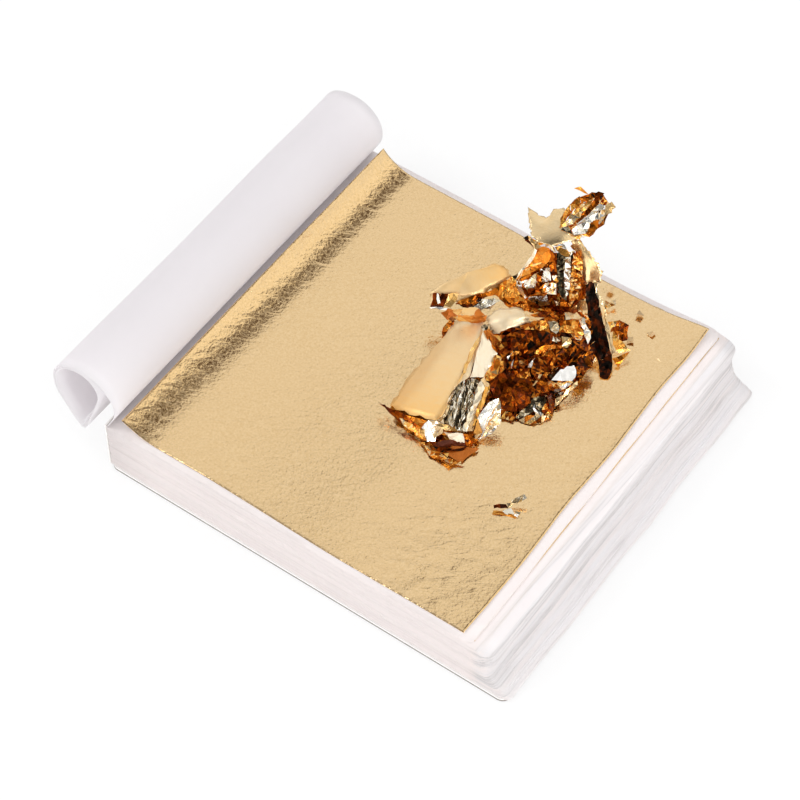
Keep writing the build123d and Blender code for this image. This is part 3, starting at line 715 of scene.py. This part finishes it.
tornTall = dict(body="torn_tall", node="torn_leaf_tall", seed=64, backing=[
    (0.3, 1, [(520, 284, 18.0), (548, 252, 26.0), (578, 256, 25.0), (582, 290, 18.0), (586, 308, 14.6),
        (560, 318, 14.4), (530, 310, 15.0)]),
], plates=[
    ((0.72, 0.74), 0.1, [
        [(570, 238, 28.0), (578, 240, 27.4), (586, 246, 26.4)],
        [(574, 252, 25.4), (584, 254, 25.4), (596, 261, 24.4)],
        [(578, 268, 22.6), (588, 270, 22.6), (602, 272, 22.4)],
        [(581, 284, 19.6), (590, 285, 20.0), (601, 282, 20.6)],
    ]),
], patches=[
    (0.42, 0.1, [(516, 279, 21.4), (530, 259, 25.2), (531, 273, 22.6), (519, 281, 20.8)]),
    (0.38, 0.1, [(530, 259, 25.2), (538, 247, 27.4), (549, 248, 28.0), (551, 256, 26.6), (546, 265, 24.8),
        (531, 273, 22.6)]),
    (0.2, 0.2, [(549, 248, 28.0), (556, 256, 26.8), (557, 277, 22.6), (551, 276, 22.4), (549, 263, 25.0),
        (551, 256, 26.6)]),
    (1.32, 0.7, [(558, 252, 27.8), (566, 257, 27.2), (567, 290, 20.2), (562, 299, 18.4), (557, 290, 19.8)]),
    (1.7, 0.5, [(566, 257, 27.2), (571, 257, 27.4), (570, 286, 21.2), (566, 300, 18.2), (562, 299, 18.4),
        (567, 290, 20.2)]),
    (0.5, 0.9, [(574, 254, 27.6), (582, 250, 27.8), (582, 276, 22.8), (569, 289, 20.2)]),
    (0.52, 0.9, [(569, 289, 20.2), (582, 276, 22.8), (578, 300, 17.8), (571, 307, 16.6)]),
    (0.28, 0.3, [(582, 276, 22.8), (586, 283, 20.4), (586, 298, 17.6), (578, 300, 17.8)]),
    (0.6, 0.1, [(556, 247, 28.6), (565, 245, 28.8), (570, 254, 27.6), (566, 257, 27.2), (558, 252, 27.8)]),
    (0.95, 0.2, [(540, 268, 23.6), (549, 266, 24.2), (549, 282, 20.8), (541, 282, 20.6)]),
    (0.3, 0.2, [(531, 273, 22.6), (540, 268, 23.6), (541, 282, 20.6), (535, 277, 21.6)]),
    (0.92, 0.6, [(520, 281, 20.2), (535, 277, 21.6), (536, 290, 18.8), (524, 297, 17.4)]),
    (0.97, 0.3, [(527, 297, 17.6), (547, 295, 18.8), (550, 305, 16.8), (534, 307, 15.8)]),
    (0.8, 0.6, [(548, 284, 20.6), (556, 283, 20.8), (556, 294, 18.6), (547, 295, 18.4)]),
    (0.3, 0.5, [(557, 277, 22.6), (557, 290, 19.8), (556, 294, 18.6), (556, 283, 20.8)]),
    (0.28, 0.4, [(550, 305, 16.8), (560, 306, 17.2), (552, 316, 15.0)]),
    (0.3, 0.5, [(562, 299, 18.4), (571, 307, 16.6), (570, 320, 13.6), (560, 306, 17.2)]),
    (0.24, 0.5, [(571, 307, 16.6), (578, 300, 17.8), (583, 305, 15.6), (570, 320, 13.6)]),
    (0.55, 0.5, [(519, 281, 20.8), (524, 297, 17.4), (520, 305, 15.4), (516, 290, 18.0)]),
    (0.36, 0.5, [(536, 290, 18.8), (548, 284, 20.6), (547, 295, 18.4), (547, 295, 18.8), (527, 297, 17.6)]),
    (0.3, 0.2, [(518, 280, 20.8), (523, 272, 22.2), (533, 266, 23.6), (549, 261, 25.0), (549, 264, 24.4),
        (540, 269, 23.2), (530, 276, 21.6), (522, 281, 20.6)]),
    (0.62, 0.1, [(523, 270, 22.8), (532, 264, 24.2), (548, 259, 25.6), (549, 261, 25.2), (533, 267, 23.8),
        (523, 273, 22.4)]),
    (0.85, 0.1, [(516, 278, 21.2), (522, 268, 23.0), (530, 259, 25.2), (535, 250, 27.0), (537, 251, 27.0),
        (531, 262, 24.8), (524, 271, 22.7), (518, 280, 21.0)]),
    (1.3, 1.0, [(511, 277, 20.8), (518, 273, 21.2), (520, 271, 21.6), (516, 280, 20.6)]),
    (1.1, 0.3, [(523, 239, 28.0), (528, 235, 28.4), (530, 240, 28.0), (536, 247, 27.4), (532, 246, 27.4)]),
    (0.6, 0.4, [(528, 236, 28.4), (533, 238, 28.4), (540, 243, 28.0), (543, 245, 27.9), (536, 248, 27.6),
        (531, 243, 27.9)]),
    (0.16, 0.4, [(549, 249, 27.4), (553, 250, 27.2), (557, 258, 26.0), (557, 272, 23.2), (555, 277, 22.4),
        (552, 276, 22.6), (550, 266, 24.6)]),
    (1.27, 0.9, [(557, 253, 27.2), (562, 254, 27.2), (567, 257, 26.8), (566, 268, 24.6), (564, 276, 22.8),
        (566, 288, 20.4), (565, 298, 18.6), (562, 298, 18.6), (559, 288, 20.4), (558, 276, 22.8),
        (556, 266, 24.6)]),
    (1.0, 0.3, [(566, 259, 26.8), (570, 259, 26.8), (571, 268, 25.0), (567, 275, 23.4), (570, 284, 21.6),
        (569, 294, 19.4), (566, 297, 18.8), (565, 288, 20.6), (563, 277, 23.0), (565, 268, 24.8)]),
    (0.46, 1.0, [(572, 258, 26.4), (576, 251, 27.4), (581, 253, 27.0), (581, 262, 25.4), (580, 275, 22.8),
        (579, 285, 20.8), (578, 292, 19.4), (574, 300, 17.8), (570, 307, 16.6), (569, 299, 18.2),
        (570, 288, 20.4), (570, 277, 22.6), (572, 268, 24.4)]),
    (1.5, 1.0, [(569, 252, 27.6), (576, 250, 27.8), (575, 256, 26.8), (571, 259, 26.4)]),
    (0.52, 0.1, [(555, 247, 28.4), (562, 246, 28.6), (568, 252, 27.8), (569, 257, 27.2), (563, 255, 27.4),
        (558, 251, 27.8)]),
    (0.98, 0.1, [(552, 242, 28.8), (560, 243, 28.8), (568, 248, 28.2), (566, 250, 28.0), (558, 246, 28.5),
        (553, 246, 28.4)]),
    (0.82, 0.2, [(545, 238, 28.8), (548, 236, 29.0), (552, 245, 28.5), (557, 251, 27.9), (554, 251, 27.7),
        (549, 246, 28.1), (546, 247, 27.8)]),
    (0.26, 0.5, [(581, 284, 20.6), (585, 284, 20.6), (587, 298, 17.6), (580, 299, 17.4), (575, 301, 17.2),
        (578, 292, 19.0)]),
    (0.74, 0.1, [(575, 303, 16.8), (580, 300, 17.4), (586, 301, 17.0), (586, 310, 15.4), (580, 311, 15.2),
        (573, 307, 16.0)]),
    (0.94, 0.1, [(550, 268, 24.2), (551, 280, 21.8), (546, 281, 21.6), (543, 274, 23.0), (546, 268, 24.2)]),
    (0.8, 0.1, [(530, 277, 21.6), (538, 272, 22.8), (537, 280, 21.2), (535, 286, 20.0), (531, 284, 20.3)]),
    (0.2, 0.3, [(537, 274, 22.4), (543, 270, 23.2), (542, 278, 21.6), (540, 286, 20.0), (536, 286, 20.0)]),
    (0.98, 0.3, [(526, 282, 20.6), (531, 279, 21.2), (535, 284, 20.2), (533, 288, 19.4), (528, 287, 19.6)]),
    (1.0, 0.1, [(517, 281, 20.4), (521, 282, 20.3), (522, 290, 18.8), (528, 298, 17.2), (524, 299, 17.0),
        (518, 291, 18.6)]),
    (0.2, 0.3, [(521, 283, 20.2), (524, 285, 19.9), (530, 296, 17.6), (528, 298, 17.2), (523, 291, 18.6)]),
    (1.0, 0.4, [(527, 299, 17.2), (535, 296, 17.8), (544, 296, 17.8), (549, 302, 16.6), (543, 305, 16.0),
        (535, 306, 15.8), (530, 304, 16.2)]),
    (1.12, 0.3, [(535, 301, 17.1), (538, 302, 16.9), (538, 306, 16.2), (535, 305, 16.4)]),
    (0.64, 1.0, [(540, 288, 19.6), (545, 284, 20.4), (549, 282, 20.8), (553, 287, 19.8), (551, 290, 19.2),
        (545, 292, 18.8), (541, 293, 18.6)]),
    (0.7, 0.8, [(552, 276, 22.4), (557, 276, 22.4), (558, 282, 21.2), (553, 281, 21.4)]),
    (0.28, 1.0, [(549, 290, 19.0), (557, 288, 19.4), (560, 300, 17.0), (556, 308, 15.4), (549, 306, 15.8),
        (546, 300, 17.0)]),
    (1.0, 0.1, [(560, 290, 19.4), (562, 291, 19.2), (562, 297, 18.0), (560, 296, 18.2)]),
    (0.95, 0.1, [(555, 300, 17.4), (561, 304, 16.6), (557, 306, 16.2)]),
    (0.36, 0.9, [(529, 288, 19.2), (540, 287, 19.4), (541, 294, 18.2), (532, 297, 17.4), (528, 293, 18.2)]),
    (0.4, 0.6, [(500, 299, 18.4), (510, 296, 18.8), (520, 294, 18.4), (527, 300, 17.0), (545, 307, 15.9),
        (556, 310, 15.2), (545, 314, 14.9), (530, 312, 15.2), (515, 309, 16.4), (505, 305, 17.6)]),
    (0.18, 0.6, [(503, 300, 18.5), (513, 299, 18.2), (526, 304, 16.6), (515, 306, 16.8), (507, 304, 17.6)]),
    (0.34, 0.5, [(576, 311, 15.4), (582, 312, 15.2), (590, 319, 13.8), (592, 322, 13.4), (586, 320, 13.8),
        (580, 316, 14.6)]),
    (0.74, 0.3, [(580, 308, 15.8), (590, 316, 14.2), (593, 320, 13.6), (584, 316, 14.6)]),
])
tornKnot = dict(body="torn_knot", node="torn_leaf_knot", seed=55, backing=[
    (0.45, 1, [(566, 235, 29.6), (572, 214, 31.0), (586, 196, 32.6), (604, 196, 32.6), (612, 206, 31.6),
        (604, 224, 30.2), (590, 236, 29.4)]),
], plates=[
    ((0.77, 0.77), 0.1, [
        [(528, 209, 30.4), (545, 217, 30.8), (554, 210, 31.6), (566, 209, 31.8)],
        [(529, 222, 30.0), (543, 225, 30.8), (554, 221, 31.4), (562, 222, 31.6)],
        [(531, 234, 29.8), (545, 238, 30.2), (556, 235, 30.6), (570, 233, 30.6)],
        [(538, 243, 29.6), (550, 245, 29.6), (562, 243, 29.8), (584, 237, 29.8)],
    ]),
], patches=[
    (0.08, 0.2, [(524, 239, 29.2), (528, 236, 30.0), (535, 249, 28.8)]),
    (0.66, 0.2, [(528, 236, 30.0), (534, 240, 30.0), (541, 247, 29.2), (535, 249, 28.8)]),
    (0.42, 0.6, [(559, 229, 31.0), (562, 215, 32.2), (570, 204, 33.4), (571, 214, 32.6)]),
    (0.35, 0.7, [(570, 204, 33.4), (580, 197, 34.2), (581, 204, 33.2), (571, 214, 32.6)]),
    (0.28, 0.6, [(580, 197, 34.2), (591, 193, 34.6), (594, 198, 34.0), (581, 204, 33.2)]),
    (0.72, 0.5, [(559, 229, 31.0), (571, 214, 32.6), (586, 210, 33.0), (573, 224, 31.8)]),
    (0.62, 0.5, [(571, 214, 32.6), (581, 204, 33.2), (594, 198, 34.0), (597, 196, 34.4), (586, 210, 33.0)]),
    (0.22, 0.4, [(573, 224, 31.8), (586, 210, 33.0), (597, 196, 34.4), (599, 203, 33.6), (584, 219, 32.0)]),
    (0.97, 0.4, [(571, 230, 31.4), (584, 219, 32.0), (581, 223, 31.8)]),
    (0.98, 0.5, [(571, 230, 31.4), (581, 223, 31.8), (592, 222, 31.6), (586, 234, 30.6), (573, 235, 30.6)]),
    (0.9, 0.5, [(584, 219, 32.0), (599, 203, 33.6), (609, 206, 33.4), (598, 212, 32.8), (581, 223, 31.8)]),
    (0.95, 0.4, [(581, 223, 31.8), (598, 212, 32.8), (605, 215, 32.4), (592, 222, 31.6)]),
    (0.3, 0.2, [(592, 222, 31.6), (600, 219, 32.4), (598, 229, 31.2), (589, 237, 30.2), (586, 234, 30.6)]),
    (0.7, 0.1, [(603, 217, 32.2), (606, 206, 33.4), (611, 202, 33.8), (615, 207, 33.2), (611, 213, 32.6)]),
    (0.1, 0.4, [(591, 193, 34.6), (598, 192, 34.6), (604, 193, 34.4), (601, 200, 33.8), (594, 198, 34.0)]),
    (0.45, 0.1, [(574, 188, 35.0), (581, 186, 35.2), (589, 194, 34.6), (580, 191, 34.6)]),
    (1.4, 0.9, [(560, 230, 30.8), (568, 226, 31.4), (572, 234, 30.4)]),
    (0.8, 0.3, [(574, 222, 31.2), (580, 208, 32.4), (588, 198, 33.6), (592, 200, 33.4), (584, 212, 32.2),
        (579, 226, 30.8)]),
    (0.4, 0.9, [(580, 222, 31.2), (586, 210, 32.3), (594, 200, 33.4), (598, 201, 33.2), (590, 212, 32.0),
        (585, 225, 30.8)]),
    (0.86, 0.4, [(586, 220, 31.1), (592, 210, 32.0), (600, 201, 33.0), (604, 203, 32.6), (597, 211, 31.6),
        (590, 223, 30.6)]),
    (0.22, 0.5, [(584, 197, 33.8), (592, 193, 34.4), (600, 193, 34.4), (604, 196, 34.0), (598, 199, 33.6),
        (590, 198, 33.8)]),
    (0.9, 0.3, [(596, 218, 30.8), (602, 210, 31.4), (609, 204, 32.0), (612, 208, 31.6), (606, 215, 30.8),
        (600, 224, 30.2)]),
    (1.5, 1.0, [(572, 234, 29.9), (580, 228, 30.6), (590, 224, 30.8), (596, 224, 30.6), (588, 231, 29.9),
        (578, 236, 29.5)]),
    (0.6, 0.9, [(568, 238, 29.6), (576, 236, 29.7), (584, 233, 29.8), (580, 239, 29.2)]),
])
tornRight = dict(body="torn_right", node="torn_leaf_right", seed=40, patches=[
    (0.0, 0.25, [(586, 284, 22.8), (594, 282, 24.0), (600, 305, 20.6), (589, 320, 19.2), (586, 300, 21.6)]),
    (0.0, 0.25, [(600, 305, 20.6), (606, 330, 17.6), (590, 346, 16.2), (589, 320, 19.2)]),
    (0.0, 0.3, [(606, 330, 17.6), (612, 355, 15.0), (598, 361, 14.6), (590, 346, 16.2)]),
    (0.0, 0.3, [(612, 355, 15.0), (612, 371, 13.6), (607, 380, 13.1), (600, 377, 13.2), (598, 361, 14.6)]),
    (0.78, 0.1, [(594, 282, 24.0), (597, 284, 23.6), (604, 306, 20.2), (600, 305, 20.6)]),
    (0.74, 0.1, [(600, 305, 20.6), (604, 306, 20.2), (615, 352, 15.4), (612, 355, 15.0), (606, 330, 17.6)]),
    (0.55, 0.3, [(612, 331, 17.0), (625, 345, 15.4), (630, 350, 14.6), (620, 353, 14.4), (613, 345, 15.8)]),
    (0.4, 0.2, [(613, 359, 14.2), (631, 351, 14.6), (618, 368, 13.2)]),
    (0.6, 0.5, [(608, 322, 18.2), (620, 320, 18.0), (610, 332, 17.0)]),
    (0.16, 0.4, [(620, 320, 18.0), (629, 325, 17.0), (628, 340, 15.4), (618, 342, 15.6)]),
    (0.24, 0.4, [(610, 332, 17.0), (620, 320, 18.0), (618, 342, 15.6), (612, 331, 17.0)]),
    (0.88, 0.2, [(586, 284, 22.4), (592, 290, 21.0), (596, 292, 20.6), (594, 295, 20.2), (588, 290, 21.2)]),
    (1.1, 0.4, [(588, 282, 22.6), (592, 281, 22.8), (594, 289, 21.2), (591, 287, 21.6)]),
    (0.6, 0.9, [(592, 354, 14.6), (596, 350, 15.0), (600, 352, 14.6), (598, 360, 13.8), (594, 362, 13.6)]),
    (0.6, 0.7, [(604, 300, 14.2), (610, 303, 14.0), (616, 300, 14.0), (615, 305, 13.8), (608, 308, 13.6),
        (604, 306, 13.8)]),
    (1.12, 0.5, [(600, 301, 14.2), (603, 303, 14.1), (605, 309, 13.6), (603, 311, 13.4), (601, 307, 13.7)]),
])
flakeFront = dict(body="flake_front", node="leaf_flake_front", seed=19, patches=[
    (0.45, 0.2, [(493, 510, 13.4), (505, 512, 13.5), (517, 516, 13.3), (516, 518, 13.1), (493, 514, 13.1)]),
    (1.75, 0, [(503, 511, 13.4), (512, 508, 13.6), (515, 514, 13.3), (506, 515, 13.2)]),
    (1.4, 0.1, [(515, 511, 13.8), (520, 513, 13.6), (519, 515, 13.4), (515, 513, 13.6)]),
    (0.98, 0, [(515, 513, 13.5), (519, 515, 13.4), (517, 517, 13.2), (514, 515, 13.3)]),
    (0.78, 0.6, [(506, 503, 14.0), (515, 498, 14.6), (524, 495, 15.0), (527, 498, 14.8), (518, 503, 14.0),
        (508, 508, 13.5)]),
    (0.06, 0.2, [(494, 505, 13.8), (506, 503, 14.0), (509, 509, 13.4), (494, 508, 13.5)]),
])
heap = {"thick": 0.03, "spans": 5, "grain": 1.35, "tear": 0.19, "crumple": 0.31, "backingCrumple": 0.6,
        "rise": 0.4, "plateTear": 0.38, "plateCrease": 0.22}


def rayPoint(px, py, height):
    # the point at this height that the photo shows at pixel px, py
    scale = view["film"] / view["lens"] / view["pixels"]
    middle = view["pixels"] / 2
    ray = rightward * (px - middle) * scale + outward.cross(rightward) * (middle - py) * scale - outward
    return eye + ray * (height - eye.z) / ray.z


def heapPoint(spot, relief, lift=0.0):
    # a spot without a height takes it from the piece's known spots; low spots follow the leaf beneath
    px, py = spot[:2]
    if len(spot) == 3:
        height = spot[2]
    else:
        weights = [1 / ((px - x) ** 2 + (py - y) ** 2 + 4) ** 2 for x, y, _ in relief]
        height = sum(w * z for w, (_, _, z) in zip(weights, relief)) / sum(weights)
    place = rayPoint(px, py, height)
    sag = leafHeight(1.0, place.x, place.y) * (1 - ease((height - 14) / 3))
    return rayPoint(px, py, height + sag + lift)


def throughPoints(points, spans):
    # a smooth line through a few points
    padded = [2 * points[0] - points[1], *points, 2 * points[-1] - points[-2]]
    line = []
    for a, b, c, d in zip(padded, padded[1:], padded[2:], padded[3:]):
        for i in range(spans):
            t = i / spans
            near = 2 * b + (c - a) * t + (2 * a - 5 * b + 4 * c - d) * t ** 2
            line.append(0.5 * (near + (3 * b - a - 3 * c + d) * t ** 3))
    return line + [points[-1]]


def crumpledSheet(corners, depth, dice):
    # a flat torn sheet cut into small triangles that are pushed in and out
    form = bmesh.new()
    form.faces.new([form.verts.new(c) for c in corners])
    bmesh.ops.triangulate(form, faces=form.faces)
    for _ in range(5):
        longEdges = [e for e in form.edges if e.calc_length() > heap["grain"]]
        if longEdges:
            bmesh.ops.subdivide_edges(form, edges=longEdges, cuts=1)
            bmesh.ops.triangulate(form, faces=form.faces)
    form.normal_update()
    form.verts.index_update()
    points = []
    for vert in form.verts:
        push = depth * (2.4 * abs(noise.noise(vert.co / 1.1)) - 0.5 + 0.5 * dice.uniform(-1, 1))
        spot = vert.co + vert.normal * push
        if vert.is_boundary:
            spot += heap["tear"] * Vector((dice.uniform(-1, 1), dice.uniform(-1, 1), dice.uniform(-1, 1)))
        points.append(spot)
    faces = [[v.index for v in f.verts] for f in form.faces]
    form.free()
    return points, faces


def tornPiece(body, seed, backing=(), plates=(), patches=(), relief=()):
    dice = random.Random(seed)
    points, faces, tones, crackles, smooths = [], [], [], [], []

    def keep(newPoints, newFaces, newTones, crackle, smooth):
        start = len(points)
        points.extend(newPoints)
        faces.extend([[n + start for n in f] for f in newFaces])
        tones.extend(newTones)
        crackles.extend([crackle] * len(newFaces))
        smooths.extend([smooth] * len(newFaces))

    # painted glints: each small triangle's painted reflection tone is jittered, as if it caught or missed the
    # light
    def paintedGlintTones(tone, amount, count):
        low, high = (0.0, 1.0) if tone <= 1 else (1.08, 2.0)
        return [max(low, min(high, tone + amount * dice.uniform(-1, 1))) for _ in range(count)]

    for (firstTone, lastTone), crackle, rows in plates:
        lines = [throughPoints([heapPoint(spot, ()) for spot in row], heap["spans"]) for row in rows]
        grid = [list(row) for row in zip(*(throughPoints(column, heap["spans"]) for column in zip(*lines)))]
        across = len(grid) - 1
        for i, row in enumerate(grid):
            for j, spot in enumerate(row):
                rim = i in (0, across) or j in (0, len(row) - 1)
                torn = Vector((dice.uniform(-1, 1), dice.uniform(-1, 1), 0))
                torn *= heap["plateTear"] if rim else 0.0
                row[j] = spot + heap["plateCrease"] * noise.noise_vector(spot / 2.6) + torn
        plate, quads = joinSheets([grid])
        steps = [n * across // len(quads) for n in range(len(quads))]
        shades = [firstTone + (lastTone - firstTone) * step / (across - 1) for step in steps]
        keep(plate, quads, shades, crackle, True)
    for tone, crackle, spots in backing:
        sheet, triangles = crumpledSheet([heapPoint(s, relief) for s in spots], heap["backingCrumple"], dice)
        keep(sheet, triangles, paintedGlintTones(tone, 0.32, len(triangles)), crackle, False)
    for number, (tone, crackle, spots) in enumerate(patches):
        lift = heap["rise"] * number / len(patches)
        corners = [heapPoint(s, relief, lift) for s in spots]
        sheet, triangles = crumpledSheet(corners, heap["crumple"] * (0.1 + crackle), dice)
        keep(sheet, triangles, paintedGlintTones(tone, 0.3 * crackle, len(triangles)), crackle, False)
    piece = newPiece(body + ".leaf", points, faces, tornGold, body, "crumpled_gold_leaf", heap["thick"])
    piece.data.polygons.foreach_set("use_smooth", smooths)
    for name, values in (("leafTone", tones), ("leafCrackle", crackles)):
        piece.data.attributes.new(name, "FLOAT", "FACE").data.foreach_set("value", values)
    return piece


print("torn leaf")
for parts in (tornLeft, tornFront, tornCurl, tornMiddle, tornTall, tornKnot, tornRight, flakeFront):
    node = parts.pop("node")
    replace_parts(tornPiece(**parts), node)

# floor, light and camera
print("floor, light and camera")


def floorFinish():
    f = newFinish("paleFloor")
    seen = f.add("ShaderNodeLightPath", output="Is Camera Ray")
    grain = f.clouds(f.stretched(1, 1, 1), 40, 3)
    colour = f.ramp(grain, (0.3, (0.90, 0.90, 0.90)), (0.7, (0.93, 0.93, 0.93)))
    matt = f.add("ShaderNodeBsdfPrincipled", {}, {"Base Color": colour, "Roughness": 0.8})
    bright = f.add("ShaderNodeEmission", {}, {"Color": (1, 1, 1, 1), "Strength": 1.0})
    return f.done(f.add("ShaderNodeMixShader", {}, {0: 0.62 * seen, 1: matt, 2: bright}))


floorHalf, floorZ = 3, -0.0001
corners = [(-1, -1), (1, -1), (1, 1), (-1, 1)]
mesh = bpy.data.meshes.new("paleFloor")
mesh.from_pydata([(x * floorHalf, y * floorHalf, floorZ) for x, y in corners], [], [(0, 1, 2, 3)])
mesh.materials.append(floorFinish())
floor = bpy.data.objects.new("paleFloor", mesh)
bpy.context.scene.collection.objects.link(floor)


def studioWorld():
    # white low down and overhead, with a dim side and a dim spot behind the camera for the metal to show
    f = Finish(bpy.data.worlds.new("studio"))
    facing = f.add("ShaderNodeTexCoord", output=0)
    seen = f.add("ShaderNodeLightPath", output="Is Camera Ray")
    glossy = f.add("ShaderNodeLightPath", output="Is Glossy Ray")

    def patch(direction, start, end):
        unit = Vector(direction).normalized()
        near = f.add("ShaderNodeVectorMath", {"operation": "DOT_PRODUCT"}, {0: facing, 1: tuple(unit)}, 1)
        return f.ramp(near, (math.cos(math.radians(start)), 0.0), (math.cos(math.radians(end)), 1.0))

    sky = f.colours(patch((-0.42, 0.59, 0.69), 50, 12), (0.42, 0.42, 0.43), (1.0, 1.0, 1.0))
    sky = f.colours(patch((0.75, 0.45, 0.5), 44, 28), sky, (1.2, 1.16, 1.06))
    sky = f.colours(patch((0.10, 0.49, 0.86), 18, 8), sky, (0.11, 0.07, 0.04))
    sky = f.colours(patch((0.35, -0.49, 0.8), 26, 12), sky, (0.06, 0.055, 0.05))
    low = f.ramp(f.part(facing, 2), (0.30, 1.0), (0.60, 0.0))
    sky = f.colours(low, sky, (1.05, 1.04, 1.02))
    sky = f.colours(glossy, (1.0, 1.0, 1.0), sky)
    sky = f.colours(seen, sky, (1.0, 1.0, 1.0))
    return f.done(f.add("ShaderNodeBackground", {}, {"Color": sky, "Strength": 1.0}))


bpy.context.scene.world = studioWorld()


def softbox(name, place, size, power, target=(0, 0, 10)):
    lamp = bpy.data.lights.new(name, "AREA")
    lamp.shape, lamp.size, lamp.energy = "SQUARE", size, power
    box = bpy.data.objects.new(name, lamp)
    box.location = [c * mm for c in place]
    away = Vector(place) - Vector(target)
    box.rotation_euler = away.to_track_quat("Z", "Y").to_euler()
    bpy.context.scene.collection.objects.link(box)


softbox("keyBox", (-520, -330, 620), 0.30, 1.3)
softbox("sideBox", (520, -160, 160), 0.16, 0.8)
softbox("frontBox", (120, -620, 130), 0.30, 0.45)

camera = bpy.data.objects.new("camera", bpy.data.cameras.new("camera"))
camera.data.lens, camera.data.sensor_width = view["lens"], view["film"]
camera.location = eye * mm
camera.rotation_euler = outward.to_track_quat("Z", "Y").to_euler()
camera.data.clip_start = 0.01
bpy.context.scene.collection.objects.link(camera)
bpy.context.scene.camera = camera
bpy.context.scene.view_settings.view_transform = "Standard"
